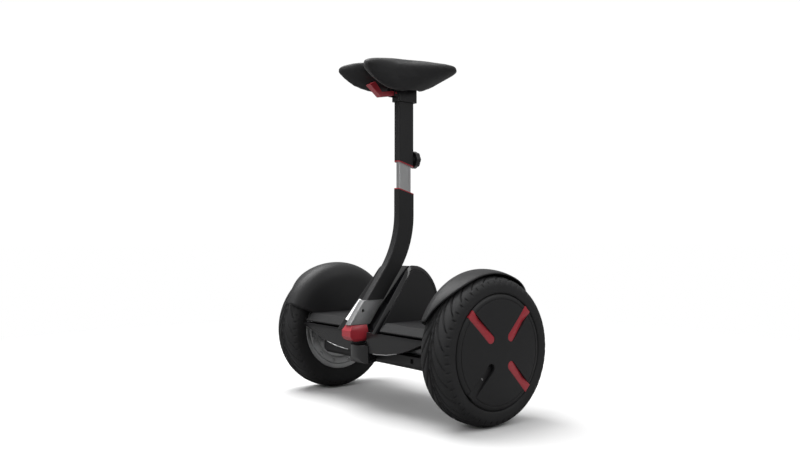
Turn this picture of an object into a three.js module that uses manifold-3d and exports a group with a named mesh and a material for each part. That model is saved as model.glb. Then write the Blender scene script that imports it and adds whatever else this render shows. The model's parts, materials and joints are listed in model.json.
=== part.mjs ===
// A two-wheeled self balancing machine with a knee-steering bar, in millimetres, +Z up.
// The origin is on the ground under the middle of the axle. The front is -Y and the rider's left is +X.
import * as THREE from 'three';
import { mergeVertices } from 'three/addons/utils/BufferGeometryUtils.js';
import Module from 'manifold-3d';

const wasm = await Module();
wasm.setup();

// ---- driving dimensions ----
const GAP = 0.3;

// wheels: X is measured from the wheel's middle plane in the profiles below
const AXLE_Z = 131;
const TYRE_R = 131;
const WHEEL_X = 235;
const TYRE_HALF = 34;
const BEAD_R = 86;
const FLANGE_R = 90;
const COVER_R = 100;
const COVER_CROWN = 38;
const COVER_BACK = 30;
const ROUND = 40;
const COARSE = 32;
const FINE_PIN = 16;
const AXLE_R = 8;
const BEARING_R = 16;
const SLOT_HALF = 8.3;
const SLOT_START = 27;
const SLOT_DIP = 78;
const STRIP_ANGLES = [45, 135, -45];
const VALVE_ANGLE = -135;

// platform and body
const SHELL_TOP = 150;
const SHELL_X = 194;
const SHELL_Y = 103;
const WALL = 3;
const MAT_TOP = 169;
const MAT_BOTTOM = 153.5;
const MAT_IN = 62.5;
const MAT_OUT = 189;
const BATTERY = { x: 155, y: 80, z0: 90, z1: 114.7 };
const NOSE = { half: 27, front: -115, z0: 90, z1: 125 };

// hump between the feet
const HUMP_BASE = SHELL_TOP + GAP;
const HUMP_TOP = 273.5;
const HUMP_TAPER = 0.22;
const HUMP_LEAN = 9;
const RIDGE_X = 56;
const HUMP_X = 60;
const PANEL_INSET = 7;
const CHANNEL_DEPTH = 20;

// the steering bar's lower half leans back along this slope
const SLOPE = THREE.MathUtils.degToRad(53.8);
const ALONG = new THREE.Vector2(Math.cos(SLOPE), Math.sin(SLOPE));
const ACROSS = new THREE.Vector2(Math.sin(SLOPE), -Math.cos(SLOPE));
const PIVOT_Z = 140;

// steering bar
const BAR_Y = 7.5;
const BAR_HALF_X = 9;
const LOWER_DEPTH = 40;
const UPPER_DEPTH = 38;
const BAR_FOOT = new THREE.Vector2(-73.4, 208);
const BEND_R = 186;
const SLIM_FRONT = 15;
const INNER = { x: 6, y: 6.5, depth: 29.5, z0: 376, z1: 586 };
const LOWER_CUT = 420.5;
const UPPER_CUT = 473;
const CUT_SLANT = 11 / 40;
const TRIM = 2;
const KNOB = { z: 484, r: 17.5, y0: 28, y1: 38 };

// knee pads
const PIN = { x: 15, z: 660, r: 3 };
const HEAD = { x: 12, y0: -15, y1: 33, z0: 597, z1: 630 };
const LUG = { y0: 2, y1: 14 };

// ---- materials ----
const finish = (color, roughness, metalness = 0) =>
  new THREE.MeshStandardMaterial({ color, roughness, metalness });
const MATTE = finish(0x26272a, 0.6);
const SATIN = finish(0x1e1f21, 0.4);
const GLOSS = finish(0x141517, 0.15);
const RUBBER = finish(0x222222, 0.85);
const FOAM = finish(0x202124, 0.75);
const RED = finish(0xb8242f, 0.3);
const ALLOY = finish(0x8d9093, 0.35, 0.9);
const STEEL = finish(0x77797c, 0.3, 1);
const SILVER = finish(0x9fa2a5, 0.3, 1);
const LIGHT = finish(0xf4f6f8, 0.2);
const TAIL = finish(0x7a1016, 0.2);
const BOARD = finish(0x1f5a36, 0.5);
const COPPER = finish(0x9a5b34, 0.4, 0.8);

// ---- geometry helpers ----
const v2 = (a, b) => new THREE.Vector2(a, b);
const radians = THREE.MathUtils.degToRad;

function bare(geometry) {
  const g = geometry.clone();
  g.deleteAttribute('normal');
  g.deleteAttribute('uv');
  return mergeVertices(g, 1e-4);
}

function toSolid(geometry) {
  const g = bare(geometry);
  return new wasm.Manifold(new wasm.Mesh({
    numProp: 3,
    vertProperties: new Float32Array(g.attributes.position.array),
    triVerts: new Uint32Array(g.index.array),
  }));
}

function toGeometry(solid) {
  const { vertProperties, triVerts } = solid.getMesh();
  const g = new THREE.BufferGeometry();
  g.setAttribute('position', new THREE.BufferAttribute(vertProperties, 3));
  g.setIndex(new THREE.BufferAttribute(triVerts, 1));
  return g;
}

const join = (first, ...rest) =>
  toGeometry(rest.reduce((sum, g) => sum.add(toSolid(g)), toSolid(first)));
const cut = (first, ...rest) =>
  toGeometry(rest.reduce((sum, g) => sum.subtract(toSolid(g)), toSolid(first)));
const meet = (first, ...rest) =>
  toGeometry(rest.reduce((sum, g) => sum.intersect(toSolid(g)), toSolid(first)));

function box(x0, x1, y0, y1, z0, z1) {
  const g = new THREE.BoxGeometry(x1 - x0, y1 - y0, z1 - z0);
  return g.translate((x0 + x1) / 2, (y0 + y1) / 2, (z0 + z1) / 2);
}

// A (y, z) outline extruded between two places on X; the shape's own x and y become Y and Z.
function alongX(shape, x0, x1, bevel = 0) {
  const g = new THREE.ExtrudeGeometry(shape, {
    depth: x1 - x0 - 2 * bevel, curveSegments: 9, bevelEnabled: bevel > 0,
    bevelSize: bevel, bevelThickness: bevel, bevelOffset: -bevel, bevelSegments: 2,
  });
  const basis = new THREE.Matrix4().set(0, 0, 1, x0 + bevel, 1, 0, 0, 0, 0, 1, 0, 0, 0, 0, 0, 1);
  return g.applyMatrix4(basis);
}

// An (x, z) outline extruded between two places on Y.
function alongY(shape, y0, y1, curveSegments = 6) {
  const g = new THREE.ExtrudeGeometry(shape, { depth: y1 - y0, curveSegments, bevelEnabled: false });
  return g.rotateX(Math.PI / 2).translate(0, y1, 0);
}

// An (x, y) outline extruded between two heights.
function alongZ(shape, z0, z1, curveSegments = 3) {
  const g = new THREE.ExtrudeGeometry(shape, { depth: z1 - z0, curveSegments, bevelEnabled: false });
  return g.translate(0, 0, z0);
}

const polygon = (points) => new THREE.Shape(points.map(([a, b]) => v2(a, b)));

function roundedRect(x0, x1, y0, y1, r) {
  const s = new THREE.Shape();
  s.moveTo(x0 + r, y0).lineTo(x1 - r, y0).absarc(x1 - r, y0 + r, r, -Math.PI / 2, 0);
  s.lineTo(x1, y1 - r).absarc(x1 - r, y1 - r, r, 0, Math.PI / 2);
  s.lineTo(x0 + r, y1).absarc(x0 + r, y1 - r, r, Math.PI / 2, Math.PI);
  s.lineTo(x0, y0 + r).absarc(x0 + r, y0 + r, r, Math.PI, Math.PI * 1.5);
  return s;
}

function rod(r, x0, x1, sides = FINE_PIN) {
  return new THREE.CylinderGeometry(r, r, x1 - x0, sides).rotateZ(-Math.PI / 2)
    .translate((x0 + x1) / 2, 0, 0);
}

function rodY(r, x, y0, y1, z, sides = FINE_PIN) {
  return new THREE.CylinderGeometry(r, r, y1 - y0, sides).translate(x, (y0 + y1) / 2, z);
}

// A closed (x, r) profile turned about the wheel's axis; x is along the axis from the middle plane.
function turned(profile, segments = ROUND) {
  const closed = [...profile, profile[0]].map(([x, r]) => v2(r, x));
  return outward(bare(new THREE.LatheGeometry(closed, segments).rotateZ(-Math.PI / 2)));
}

// Joins equal rings of points into one closed skin, with flat ends.
function loft(rings) {
  const n = rings[0].length;
  const positions = rings.flat().flatMap((p) => [p.x, p.y, p.z]);
  const index = [];
  for (let i = 0; i < rings.length - 1; i += 1) {
    for (let j = 0; j < n; j += 1) {
      const a = i * n + j;
      const b = i * n + (j + 1) % n;
      index.push(a, b, b + n, a, b + n, a + n);
    }
  }
  const last = (rings.length - 1) * n;
  for (const [a, b, c] of capFaces(rings[0])) index.push(c, b, a);
  for (const [a, b, c] of capFaces(rings[rings.length - 1])) index.push(last + a, last + b, last + c);
  const g = new THREE.BufferGeometry();
  g.setAttribute('position', new THREE.Float32BufferAttribute(positions, 3));
  g.setIndex(index);
  return outward(g);
}

function capFaces(ring) {
  const normal = new THREE.Vector3();
  ring.forEach((p, i) => normal.add(p.clone().cross(ring[(i + 1) % ring.length])));
  const weight = (axis) => Math.abs(normal[axis]);
  const [a, b] = ['x', 'y', 'z'].sort((p, q) => weight(p) - weight(q));
  const flat = ring.map((p) => v2(p[a], p[b]));
  const faces = THREE.ShapeUtils.triangulateShape(flat, []);
  const [i, j, k] = faces[0];
  const turn = THREE.ShapeUtils.area([flat[i], flat[j], flat[k]]) * THREE.ShapeUtils.area(flat);
  return turn > 0 ? faces : faces.map(([p, q, r]) => [r, q, p]);
}

function outward(geometry) {
  const p = geometry.attributes.position;
  const index = geometry.index.array;
  const [a, b, c] = [new THREE.Vector3(), new THREE.Vector3(), new THREE.Vector3()];
  let volume = 0;
  for (let i = 0; i < index.length; i += 3) {
    a.fromBufferAttribute(p, index[i]);
    b.fromBufferAttribute(p, index[i + 1]);
    c.fromBufferAttribute(p, index[i + 2]);
    volume += a.dot(b.cross(c));
  }
  if (volume < 0) {
    for (let i = 0; i < index.length; i += 3) [index[i], index[i + 1]] = [index[i + 1], index[i]];
  }
  return geometry;
}

// The same piece on the other side of the machine.
function mirrored(geometry) {
  const g = bare(geometry).scale(-1, 1, 1);
  const index = g.index.array;
  for (let i = 0; i < index.length; i += 3) [index[i], index[i + 1]] = [index[i + 1], index[i]];
  return g;
}

const machine = new THREE.Group();

function part(name, geometry, material) {
  const mesh = new THREE.Mesh(bare(geometry), material);
  mesh.name = name;
  machine.add(mesh);
  return mesh;
}

// A left piece at +X and its mirrored twin at -X.
function pair(name, geometry, material) {
  part(`${name}_left`, geometry, material);
  part(`${name}_right`, mirrored(geometry), material);
}

// Lifts a wheel-frame piece onto the left end of the axle line.
const onWheel = (geometry) => geometry.translate(WHEEL_X, 0, AXLE_Z);

// ---- wheels ----
function tyre() {
  const w = TYRE_HALF;
  const tread = [[-30, 124], [-15, 130.2], [0, TYRE_R], [15, 130.2], [30, 124]];
  const cavity = [[17, 95], [27, 112], [0, 123.5], [-27, 112], [-17, 95]];
  return turned([
    [-24.7, BEAD_R + GAP], [-24.7, FLANGE_R + GAP], [-28.3, FLANGE_R + GAP], [-w, 112], ...tread,
    [w, 112], [33, COVER_R + 2.5], [29.5, COVER_R + 0.8], [28.3, FLANGE_R + GAP],
    [24.7, FLANGE_R + GAP], [24.7, BEAD_R + GAP], ...cavity,
  ]);
}

function rim() {
  const hub = BEARING_R + GAP;
  return turned([
    [-28, 80], [-28, FLANGE_R], [-25, FLANGE_R], [-25, BEAD_R], [25, BEAD_R], [25, FLANGE_R],
    [28, FLANGE_R], [28, 80], [20, 80], [20, hub], [12, hub], [12, 80],
  ], COARSE);
}

function motorCover() {
  const hub = BEARING_R + GAP;
  return turned([
    [-27.5, 79.5], [-27.5, 66], [-25, 63], [-25, 30], [-29, 26], [-29, hub], [-22, hub], [-22, 79.5],
  ], COARSE);
}

function coverFace(x) {
  const face = [[COVER_CROWN, 0], [COVER_CROWN - 0.7, 50], [COVER_CROWN - 2.6, 88]];
  return [...face, [COVER_CROWN - 3.6, 97], [x + 2.5, COVER_R], [x, COVER_R]];
}

// A straight bar of outline in (r, x) laid along one direction of the wheel's face.
function radialBar(outline, half, angle) {
  const g = alongY(polygon(outline.map(([r, x]) => [r, x])), -half, half);
  const basis = new THREE.Matrix4().set(0, 0, 1, 0, 1, 0, 0, 0, 0, 1, 0, 0, 0, 0, 0, 1);
  return g.applyMatrix4(basis).rotateX(radians(angle));
}

function slotTool(angle) {
  const inner = rod(SLOT_HALF, COVER_BACK - 2, 50, 20).translate(0, SLOT_START + SLOT_HALF, 0);
  const arm = box(COVER_BACK - 2, 50, SLOT_START + SLOT_HALF, 110, -SLOT_HALF, SLOT_HALF);
  return join(arm, inner).rotateX(radians(angle));
}

function wheelCover() {
  const disc = turned([...coverFace(COVER_BACK), [COVER_BACK, 0]]);
  return cut(disc, ...[...STRIP_ANGLES, VALVE_ANGLE].map(slotTool));
}

// A coloured strip: level at its round inner end, dipping, then ramping up to the cover's edge.
function strip(angle) {
  const half = SLOT_HALF - GAP;
  const start = SLOT_START + GAP;
  const top = COVER_CROWN - 1;
  const outline = [
    [start, COVER_BACK], [99.4, COVER_BACK], [99.4, top - 2.4], [97.6, top - 2.4],
    [SLOT_DIP, top - 4.2], [start, top],
  ];
  const bar = radialBar(outline, half, 0);
  const round = join(
    rod(half, COVER_BACK - 1, 50, 20).translate(0, start + half, 0),
    box(COVER_BACK - 1, 50, start + half, 110, -half, half),
  );
  return meet(bar, round).rotateX(radians(angle));
}

const valveStem = () => rod(3.2, 21, 33, 12).translate(0, 60, 0).rotateX(radians(VALVE_ANGLE));

const ring = (x0, x1, r0, r1, sides) => turned([[x0, r0], [x0, r1], [x1, r1], [x1, r0]], sides);

function stator() {
  const core = ring(-18, 8, AXLE_R + GAP, 52, 24);
  const teeth = [];
  for (let i = 0; i < 12; i += 1) teeth.push(box(-16, 6, -4, 4, 50, 74).rotateX((i * Math.PI) / 6));
  return join(core, ...teeth);
}

function buildWheels() {
  pair('tyre', onWheel(tyre()), RUBBER);
  pair('rim', onWheel(rim()), ALLOY);
  pair('motor_cover', onWheel(motorCover()), ALLOY);
  pair('wheel_cover', onWheel(wheelCover()), MATTE);
  STRIP_ANGLES.forEach((angle, i) => pair(`cover_strip_${i + 1}`, onWheel(strip(angle)), RED));
  pair('valve_stem', onWheel(valveStem()), STEEL);
  pair('hub_bearing', onWheel(ring(12, 20, AXLE_R + GAP, BEARING_R, FINE_PIN)), STEEL);
  pair('stator', onWheel(stator()), COPPER);
  pair('axle', onWheel(rod(AXLE_R, -75, 24)), STEEL);
}

// ---- body ----
function smileOutline(drop) {
  const half = [[0, 110.7], [50, 110.7], [80, 113], [115, 119.5], [147, 129], [178, 141], [SHELL_X, 146]];
  const right = half.map(([x, z]) => [x, z + drop]);
  const left = right.slice(1).map(([x, z]) => [-x, z]).reverse();
  return polygon([...left, ...right, [SHELL_X, SHELL_TOP], [-SHELL_X, SHELL_TOP]]);
}

function bodyShell() {
  const block = alongY(smileOutline(0), -SHELL_Y - 1, SHELL_Y);
  const side = polygon([
    [-SHELL_Y - 1, 141], [-SHELL_Y + 3, 109], [-90, 104], [95, 104], [SHELL_Y, 112],
    [SHELL_Y, SHELL_TOP + 1], [-SHELL_Y, SHELL_TOP + 1],
  ]);
  const outer = meet(block, alongX(side, -SHELL_X - 1, SHELL_X + 1));
  const room = meet(
    alongY(smileOutline(WALL), -SHELL_Y + 6, SHELL_Y - WALL),
    box(-SHELL_X + WALL, SHELL_X - WALL, -SHELL_Y, SHELL_Y, 100, SHELL_TOP - WALL),
  );
  const hatch = box(-BATTERY.x - 1, BATTERY.x + 1, -BATTERY.y - 1, BATTERY.y + 1, 95, SHELL_TOP - WALL);
  const pivotWall = box(-NOSE.half, NOSE.half, -98, -82, 126, SHELL_TOP - 1);
  const pivotRoom = box(-24, 24, -125, -86, 126.5, SHELL_TOP + 5);
  const noseRoom = box(-NOSE.half - GAP, NOSE.half + GAP, -125, -81, 95, NOSE.z1 + GAP);
  const arms = [1, -1].map((s) => box(...[s * 148, s * 200].sort((p, q) => p - q), -26, 26, 100, 147));
  const shaftHole = rodY(12 + GAP, 0, -100, -50, PIVOT_Z);
  const button = rodY(8.5, -26, SHELL_Y - 10, SHELL_Y + 5, 134);
  const socket = rodY(8.5, 26, SHELL_Y - 10, SHELL_Y + 5, 134);
  const open = cut(outer, room, hatch);
  return cut(join(open, pivotWall), pivotRoom, noseRoom, shaftHole, button, socket, ...arms);
}

function nose() {
  const s = new THREE.Shape();
  s.moveTo(-NOSE.half, -82).lineTo(NOSE.half, -82).lineTo(NOSE.half, -97);
  s.quadraticCurveTo(NOSE.half - 4, NOSE.front, 0, NOSE.front);
  s.quadraticCurveTo(4 - NOSE.half, NOSE.front, -NOSE.half, -97);
  const profile = polygon([
    [-82, NOSE.z0 + 3], [-104, NOSE.z0], [-111, NOSE.z0 + 5], [NOSE.front, NOSE.z0 + 14],
    [NOSE.front, NOSE.z1], [-82, NOSE.z1],
  ]);
  return meet(alongZ(s, NOSE.z0, NOSE.z1, 10), alongX(profile, -NOSE.half, NOSE.half));
}

function chassisFrame() {
  const beam = box(-146, 146, -60, 60, BATTERY.z1 + GAP, SHELL_TOP - WALL - GAP);
  const arms = box(-190, 190, -22, 22, 112, SHELL_TOP - WALL - GAP);
  const boss = rodY(17, 0, -80, -55, 132);
  const tray = box(-120, 120, -45, 45, 124, 160);
  const axleBore = rod(AXLE_R + GAP, 120, 200).translate(0, 0, AXLE_Z);
  const otherBore = rod(AXLE_R + GAP, -200, -120).translate(0, 0, AXLE_Z);
  const body = meet(join(beam, arms, boss), box(-200, 200, -100, 100, BATTERY.z1 + GAP, 146.7));
  return cut(body, tray, axleBore, otherBore, rodY(12 + GAP, 0, -90, -40, PIVOT_Z));
}

function battery() {
  const b = BATTERY;
  const end = polygon([
    [-b.y, b.z0 + 8], [-b.y + 8, b.z0], [b.y - 8, b.z0], [b.y, b.z0 + 8], [b.y, b.z1], [-b.y, b.z1],
  ]);
  const screwHole = box(125, 133, -b.y - 1, -b.y + 6, 102, 110);
  return cut(alongX(end, -b.x, b.x), screwHole);
}

function footMat() {
  const plan = polygon([
    [MAT_IN, MAT_BOTTOM], [MAT_OUT, MAT_BOTTOM], [MAT_OUT, MAT_TOP], [MAT_IN, MAT_TOP],
  ]);
  const side = polygon([
    [-102, MAT_BOTTOM], [102, MAT_BOTTOM], [102, 157], [88, MAT_TOP], [-88, MAT_TOP], [-103, 155.5],
  ]);
  return meet(alongY(plan, -105, 105), alongX(side, 50, 200));
}

// ---- fenders ----
function fenderRing(degrees) {
  const a = radians(degrees);
  const t = Math.sin(a);
  const reach = THREE.MathUtils.smoothstep(Math.abs(t), 0.4, 0.95);
  const edgeX = 222 + 35 * reach;
  const edgeR = 142.5 - 5.5 * reach;
  const foot = Math.max((HUMP_BASE - AXLE_Z) / t, 30);
  const midX = 0.6 * edgeX + 0.4 * 219;
  const outer = [
    [edgeX, edgeR], [midX, 143.6 - 1.6 * reach], [219, 143.4], [208, 139.5], [199.5, 131.5],
    [194, 119], [191.5, 104], [190, foot],
  ];
  const inner = [
    [193, foot], [194.5, 104], [196.8, 117.8], [202, 129.6], [209.6, 136.8], [219.4, 140.4],
    [midX, 140.6 - 1.6 * reach], [edgeX, edgeR - 2.6],
  ];
  return [...outer, ...inner].map(([x, r]) => new THREE.Vector3(x, -r * Math.cos(a), AXLE_Z + r * t));
}

function fender() {
  const rings = [];
  for (let d = 24; d <= 156; d += 8.25) rings.push(fenderRing(d));
  return loft(rings);
}

// ---- hump ----
function humpLine(inset) {
  const path = new THREE.Path().moveTo(-128.6, 130).lineTo(-76, 202).lineTo(-43, 247);
  path.bezierCurveTo(-31, 263.4, -30, HUMP_TOP, -12, HUMP_TOP);
  path.bezierCurveTo(12, HUMP_TOP, 36, 252, 45, 227);
  path.bezierCurveTo(51, 210, 62, 180, 68, HUMP_BASE);
  path.lineTo(73, 130);
  const points = path.getPoints(8);
  return points.map((p, i) => {
    const before = points[Math.max(i - 1, 0)];
    const after = points[Math.min(i + 1, points.length - 1)];
    const along = after.clone().sub(before).normalize();
    return v2(p.x + along.y * inset, p.y - along.x * inset);
  });
}

// The hump narrows and leans back towards its top.
function tapered(geometry) {
  const p = geometry.attributes.position;
  for (let i = 0; i < p.count; i += 1) {
    const rise = (p.getZ(i) - HUMP_BASE) / (HUMP_TOP - HUMP_BASE);
    p.setXYZ(i, p.getX(i) * (1 - HUMP_TAPER * rise), p.getY(i) + HUMP_LEAN * rise, p.getZ(i));
  }
  return geometry;
}

const belowHump = (z) => box(-80, 80, -160, 120, 100, z);

function humpPanel(inset, x0, x1, z) {
  return cut(alongX(new THREE.Shape(humpLine(inset)), x0, x1), belowHump(z));
}

// The straight channel that the bar lies in, with flanks at 45 degrees.
function channel() {
  const flat = RIDGE_X - 1.5;
  const low = flat - CHANNEL_DEPTH;
  const section = [[-flat - 9, -9], [flat + 9, -9], [low, CHANNEL_DEPTH], [-low, CHANNEL_DEPTH]];
  const ridge = v2(-43, 247);
  const rings = [-150, 60].map((s) => section.map(([x, w]) => new THREE.Vector3(
    x, ridge.x + ALONG.x * s + ACROSS.x * w, ridge.y + ALONG.y * s + ACROSS.y * w,
  )));
  return loft(rings);
}

function humpCover() {
  const sections = [[-HUMP_X, PANEL_INSET], [-RIDGE_X, 0], [RIDGE_X, 0], [HUMP_X, PANEL_INSET]];
  const rings = sections.map(([x, inset]) => humpLine(inset).map((p) => new THREE.Vector3(x, p.x, p.y)));
  const hollow = polygon([[-84, 140], [-28, 218], [4, 246], [16, 240], [28, 222], [48, 160], [52, 140]]);
  const pocket = humpPanel(PANEL_INSET + 1, HUMP_X - 3, HUMP_X + 3, 156);
  const shell = cut(
    loft(rings), belowHump(HUMP_BASE), channel(), alongX(hollow, 8 - HUMP_X, HUMP_X - 8), pocket,
    mirrored(pocket), headlightTool(1, GAP), headlightTool(-1, GAP),
  );
  return cut(tapered(shell), rodY(12 + GAP, 0, -100, -50, PIVOT_Z));
}

const humpSide = () => tapered(humpPanel(PANEL_INSET + 1.4, HUMP_X - 2.6, HUMP_X + 0.4, 156.4));

// A bar of light lying on the sloped flank of the front channel.
function headlightTool(side, extra = 0) {
  const slope = new THREE.Vector3(0, ALONG.x, ALONG.y);
  const face = new THREE.Vector3(-side, -ACROSS.x, -ACROSS.y).normalize();
  const width = new THREE.Vector3().crossVectors(slope, face);
  const g = box(-5 - extra, 5 + extra, -24 - extra, 24 + extra, -2 - extra, 1);
  const ridge = v2(-43 - (247 - 188) / Math.tan(SLOPE), 188);
  const depth = 4.4;
  const centre = new THREE.Vector3(
    side * (RIDGE_X - 1.5 - depth), ridge.x + ACROSS.x * depth, ridge.y + ACROSS.y * depth,
  );
  const basis = new THREE.Matrix4().makeBasis(width, slope, face).setPosition(centre);
  return g.applyMatrix4(basis);
}

function chargeCap() {
  const flap = rodY(11, 26, SHELL_Y + GAP, SHELL_Y + 3, 134);
  const tab = box(20, 32, SHELL_Y + GAP, SHELL_Y + 3, 140, 148);
  return join(flap, tab);
}

function buildBody() {
  part('chassis_frame', chassisFrame(), ALLOY);
  part('body_shell', bodyShell(), SATIN);
  part('pivot_nose', nose(), GLOSS);
  part('battery_pack', battery(), MATTE);
  part('control_board', box(-90, 90, -38, 38, 126, 130), BOARD);
  part('hump_cover', humpCover(), GLOSS);
  pair('hump_side', humpSide(), MATTE);
  part('headlight_left', tapered(headlightTool(1)), LIGHT);
  part('headlight_right', tapered(headlightTool(-1)), LIGHT);
  pair('taillight', box(70, 118, SHELL_Y + GAP, SHELL_Y + 2.3, 130, 138), TAIL);
  pair('fender', fender(), MATTE);
  pair('foot_sensor', box(74, 176, -70, 70, SHELL_TOP + GAP, 151.6), STEEL);
  pair('foot_mat', footMat(), RUBBER);
  part('power_button', rodY(8, -26, SHELL_Y - 7, SHELL_Y + 1.5, 134), STEEL);
  part('charge_cap', chargeCap(), RUBBER);
}

// ---- steering base ----
// A (y, z) point given along and across the leaning part of the bar.
const onSlope = (s, w) => [
  BAR_FOOT.x + ALONG.x * s + ACROSS.x * w, BAR_FOOT.y + ALONG.y * s + ACROSS.y * w,
];
const slopeBar = (s0, s1, w0, w1) =>
  polygon([onSlope(s0, w0), onSlope(s0, w1), onSlope(s1, w1), onSlope(s1, w0)]);
const slab = (z0, z1) => box(-60, 60, -200, 100, z0, z1);

const TONGUE = { s0: -42, s1: 6, w0: -3, w1: 14, x: 5.5 };
const BOLT = { s: -31, w: -10.2, r: 3 };

function bracket() {
  const h = LOWER_DEPTH / 2;
  const block = alongX(slopeBar(-90, 40, -h, h), -BAR_HALF_X, BAR_HALF_X, 4);
  const body = meet(block, slab(163.3, BAR_FOOT.y));
  const neck = box(-6, 6, -105, -92, PIVOT_Z, 165);
  const eye = rodY(10.5, 0, -105, -92, PIVOT_Z);
  const socket = alongX(
    slopeBar(TONGUE.s0 - 2, 60, TONGUE.w0 - GAP, TONGUE.w1 + GAP), -TONGUE.x - GAP, TONGUE.x + GAP,
  );
  const [y, z] = onSlope(BOLT.s, BOLT.w);
  return cut(join(body, neck, eye), socket, rod(BOLT.r, -20, 20).translate(0, y, z));
}

function releaseButton() {
  const side = polygon([
    [-127, 162.5], [-92, 162.5], [-92, 134], [-96, 132], [-120, 132], [-128, 135.5], [-133, 142],
    [-133, 153],
  ]);
  const front = polygon([
    [-10, 162.5], [10, 162.5], [14, 154], [14, 137], [11, 132], [-11, 132], [-14, 137], [-14, 154],
  ]);
  const block = meet(alongX(side, -15, 15), alongY(front, -140, -80));
  const eyeRoom = box(-11.2, 11.2, -109.6, -80, 120, 154.5);
  const neckRoom = box(-6.6, 6.6, -109.6, -80, 150, 170);
  return cut(block, eyeRoom, neckRoom);
}

// ---- steering bar ----
// The front edge bends about its own centre, because the bar is slimmer on the slope than above it.
function bendCentre(offset, upright) {
  const [y, z] = onSlope(0, offset);
  const turn = Math.PI / 2 - SLOPE;
  return v2(upright - BEND_R, z + (upright - y) * Math.tan(SLOPE) + BEND_R * Math.tan(turn / 2));
}

function barOutline() {
  const half = LOWER_DEPTH / 2;
  const turn = Math.PI / 2 - SLOPE;
  const back = bendCentre(half, BAR_Y + half);
  const front = bendCentre(-SLIM_FRONT, BAR_Y - half);
  const s = new THREE.Shape();
  s.moveTo(...onSlope(-20, -SLIM_FRONT)).lineTo(...onSlope(-20, half));
  s.absarc(back.x, back.y, BEND_R, -turn, 0, false);
  s.lineTo(BAR_Y + half, 440).lineTo(BAR_Y - half, 440);
  s.absarc(front.x, front.y, BEND_R, 0, -turn, true);
  return s;
}

// A slab across the bar, lower at the back: the tubes' facing ends are cut on this slant.
function slantSlab(z0, z1) {
  const shear = new THREE.Matrix4().set(1, 0, 0, 0, 0, 1, 0, BAR_Y, 0, -CUT_SLANT, 1, 0, 0, 0, 0, 1);
  return box(-40, 40, -60, 60, z0, z1).applyMatrix4(shear);
}

const tubeSection = (depth, grow = 0) => roundedRect(
  -BAR_HALF_X - grow, BAR_HALF_X + grow, BAR_Y - depth / 2 - grow, BAR_Y + depth / 2 + grow, 4,
);
const innerSection = (grow) => roundedRect(
  -INNER.x - grow, INNER.x + grow, INNER.y - INNER.depth / 2 - grow, INNER.y + INNER.depth / 2 + grow, 2.5,
);

function lowerTube() {
  const tube = alongX(barOutline(), -BAR_HALF_X, BAR_HALF_X, 4);
  const trimmed = cut(tube, slantSlab(LOWER_CUT - TRIM - GAP, 600), slab(0, BAR_FOOT.y + GAP));
  const t = TONGUE;
  const tongue = alongX(slopeBar(t.s0, t.s1, t.w0, t.w1), -t.x, t.x);
  const pocket = alongZ(innerSection(GAP), INNER.z0 - GAP, 500);
  return cut(join(trimmed, tongue), pocket);
}

function endTrim(depth, z) {
  const blank = alongZ(tubeSection(depth), z - 30, z + 30);
  return cut(meet(blank, slantSlab(z, z + TRIM)), alongZ(innerSection(GAP), z - 40, z + 40));
}

function innerTube() {
  const bar = alongZ(innerSection(0), INNER.z0, INNER.z1);
  const bore = alongZ(roundedRect(-4, 4, INNER.y - 12.5, INNER.y + 12.5, 2), INNER.z0 - 1, INNER.z1 + 1);
  const groove = [1, -1].map((s) => {
    const g = box(INNER.x - 0.8, INNER.x + 1, INNER.y + 7, INNER.y + 9.5, INNER.z0 - 1, INNER.z1 + 1);
    return s > 0 ? g : mirrored(g);
  });
  return cut(bar, bore, ...groove);
}

function upperTube() {
  const tube = alongZ(tubeSection(UPPER_DEPTH), 440, HEAD.z0 + 20.7);
  const bore = alongZ(innerSection(GAP), 400, 700);
  return cut(tube, slantSlab(300, UPPER_CUT + TRIM + GAP), bore, rodY(5.3, 0, 18, 40, KNOB.z));
}

function knob() {
  const s = new THREE.Shape();
  const lobes = 8;
  const steps = lobes * 4;
  for (let i = 0; i < steps; i += 1) {
    const a = (i / steps) * Math.PI * 2;
    const r = KNOB.r - 0.8 + 0.8 * Math.cos(a * lobes);
    s[i ? 'lineTo' : 'moveTo'](r * Math.cos(a), KNOB.z + r * Math.sin(a));
  }
  const grip = alongY(s, KNOB.y0, KNOB.y1);
  const collar = rodY(8, 0, BAR_Y + UPPER_DEPTH / 2 + GAP, KNOB.y0 + 1, KNOB.z);
  const screw = rodY(5, 0, INNER.y + INNER.depth / 2 + 2 * GAP, KNOB.y0 + 1, KNOB.z);
  return join(grip, collar, screw);
}

// ---- pad head and knee pads ----
function padHead() {
  const h = HEAD;
  const collar = alongZ(roundedRect(-h.x, h.x, h.y0, h.y1, 4), h.z0, h.z1);
  const web = alongY(polygon([
    [-21, 655], [21, 655], [12, 638], [12, h.z1 - 1], [-12, h.z1 - 1], [-12, 638],
  ]), LUG.y0, LUG.y1);
  const eyes = [1, -1].map((s) => rodY(6.5, s * PIN.x, LUG.y0, LUG.y1, PIN.z));
  const ear = box(7.5, 10, -24, h.y0 + 1, 606, 618);
  const pinHoles = [1, -1].map((s) => rodY(PIN.r + GAP, s * PIN.x, 0, 20, PIN.z));
  return cut(
    join(collar, web, ...eyes, ear, mirrored(ear)), ...pinHoles,
    alongZ(tubeSection(UPPER_DEPTH, GAP), 590, h.z0 + 21), alongZ(innerSection(GAP), 600, 627.5),
    rod(2 + GAP, -20, 20).translate(0, -20, 612),
  );
}

function padLatch() {
  const side = polygon([
    [-17.5, 615], [-17.5, 608.5], [-22, 607], [-55, 601], [-82, 622], [-69, 629], [-53, 610.5],
    [-24, 616],
  ]);
  return join(alongX(side, -7, 7), rod(2, -9.8, 9.8).translate(0, -20, 612));
}

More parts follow.
